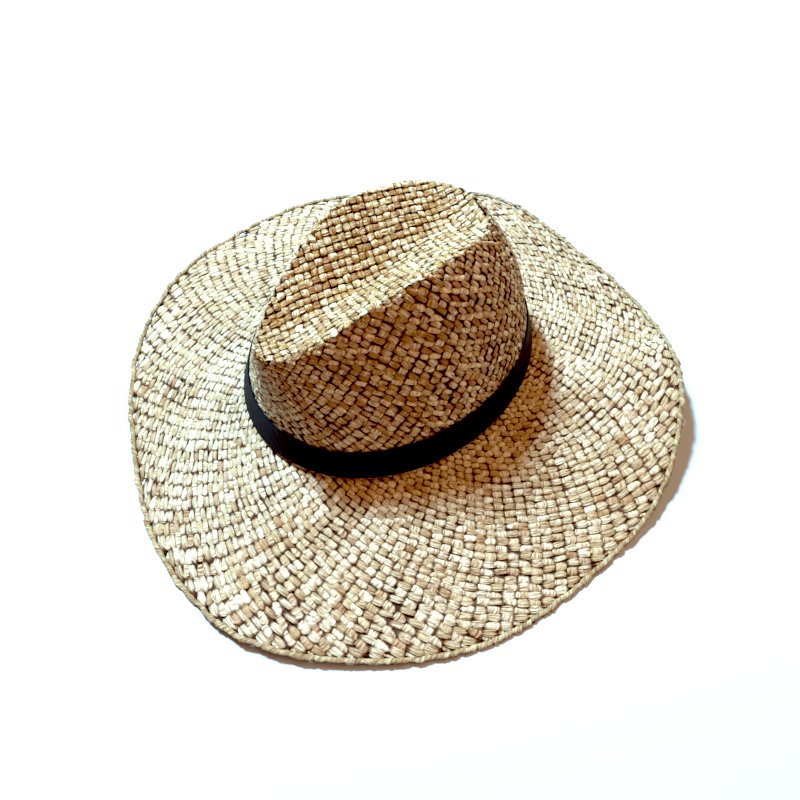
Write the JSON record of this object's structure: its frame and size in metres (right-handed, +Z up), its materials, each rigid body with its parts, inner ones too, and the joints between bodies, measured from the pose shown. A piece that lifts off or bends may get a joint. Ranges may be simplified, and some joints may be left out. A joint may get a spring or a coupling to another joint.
{
  "type": "straw cowboy hat",
  "caption": "Wide-brimmed woven straw hat with a tall creased crown, a wavy brim with a rolled edge and a black ribbon band.",
  "frame": {"origin": "on the surface that the brim rests on, under the middle of the hat's bounding box", "axes": "+Z up through the crown, -Y towards the front of the hat, +X to the wearer's left"},
  "size_m": [0.3785, 0.397, 0.1618],
  "materials": {
    "straw": "natural raffia straw, plain weave, matte with a light sheen",
    "bound_straw": "strand ends turned over and bound along the edge",
    "ribbon": "black ribbed ribbon, matte"
  },
  "bodies": {
    "root": {"straw_body": "straw", "brim_edge": "bound_straw", "hat_band": "ribbon"}
  },
  "joints": []
}
